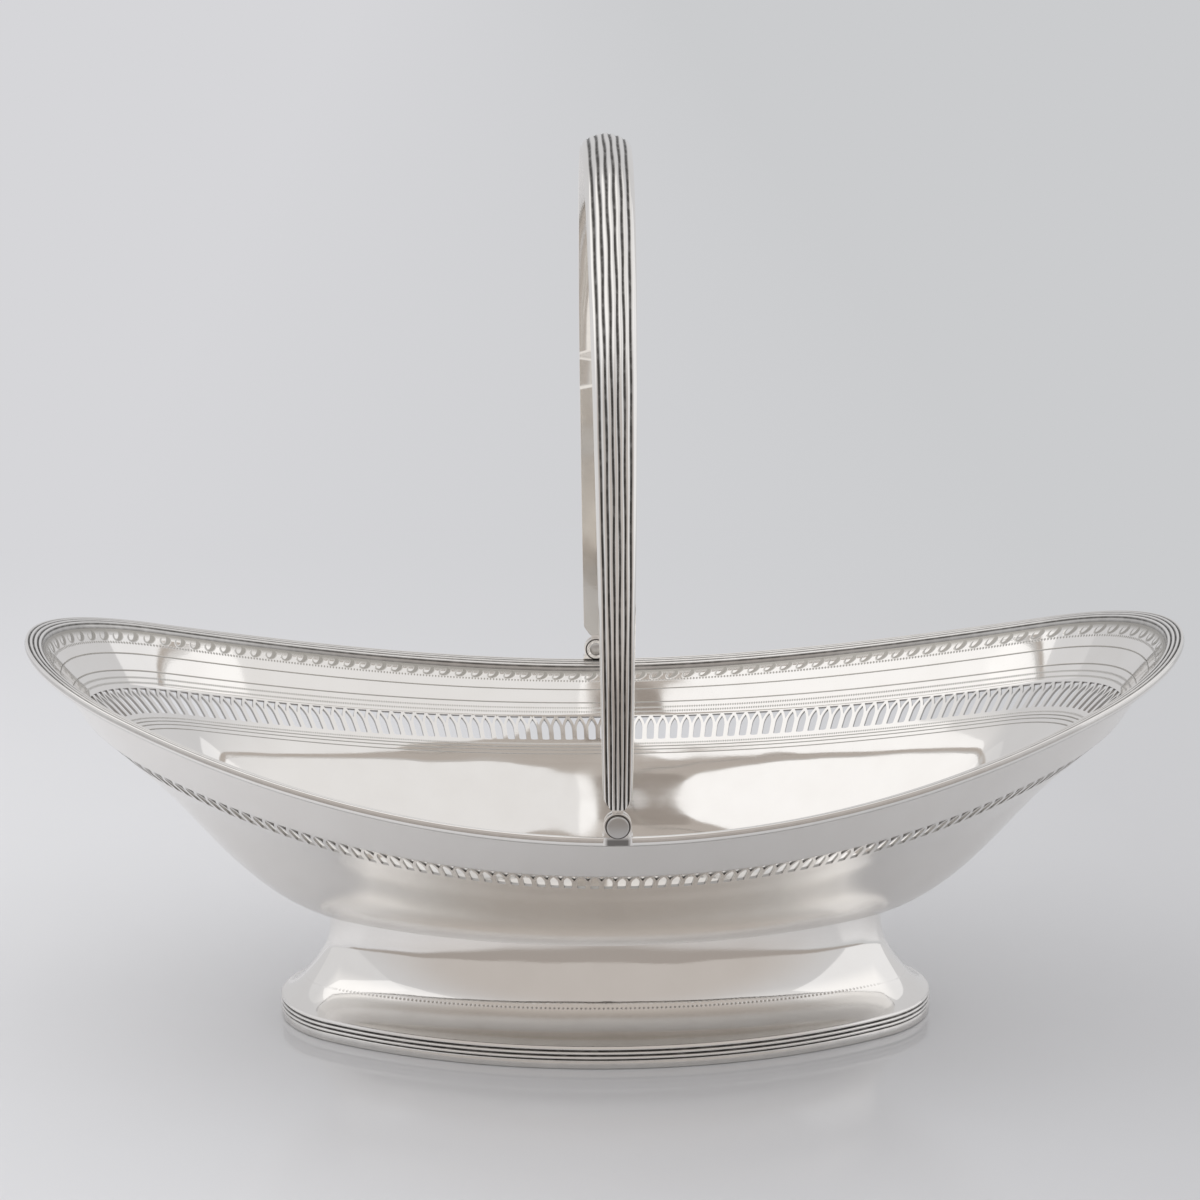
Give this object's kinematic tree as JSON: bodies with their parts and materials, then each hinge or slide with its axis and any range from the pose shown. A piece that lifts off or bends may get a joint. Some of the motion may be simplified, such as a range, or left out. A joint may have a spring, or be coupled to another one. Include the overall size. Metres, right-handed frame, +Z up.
{
  "type": "silver basket",
  "caption": "Boat-shaped oval silver cake basket on a flared oval foot, with a pierced band, reeded borders and a reeded swing handle hinged at the middle of each side.",
  "frame": {"origin": "centre of the foot's underside, on the surface the basket stands on", "axes": "+X along the basket's length, +Y from one handle hinge to the other, +Z up"},
  "size_m": [0.37, 0.2374, 0.2853],
  "materials": {
    "bowl_silver": "polished silver, engraved inside",
    "border_silver": "polished silver, darkened in the grooves",
    "foot_silver": "polished silver",
    "handle_silver": "polished silver, darkened in the grooves",
    "hinge_silver": "polished silver, worn and darkened"
  },
  "bodies": {
    "basket": {"bowl": "bowl_silver", "rim_border": "border_silver", "foot": "foot_silver", "foot_border": "border_silver", "hinge_bracket_near": "hinge_silver", "hinge_bracket_far": "hinge_silver", "pivot_pin_near": "hinge_silver", "pivot_pin_far": "hinge_silver"},
    "handle": {"handle_bow": "handle_silver", "handle_tongue_near": "hinge_silver", "handle_tongue_far": "hinge_silver"}
  },
  "joints": [
    {"name": "handle_swing", "type": "hinge", "parent": "basket", "child": "handle", "pos_m": [0, 0, 0.0941], "axis": [0, 1, 0], "range_deg": [-74, 74]}
  ]
}
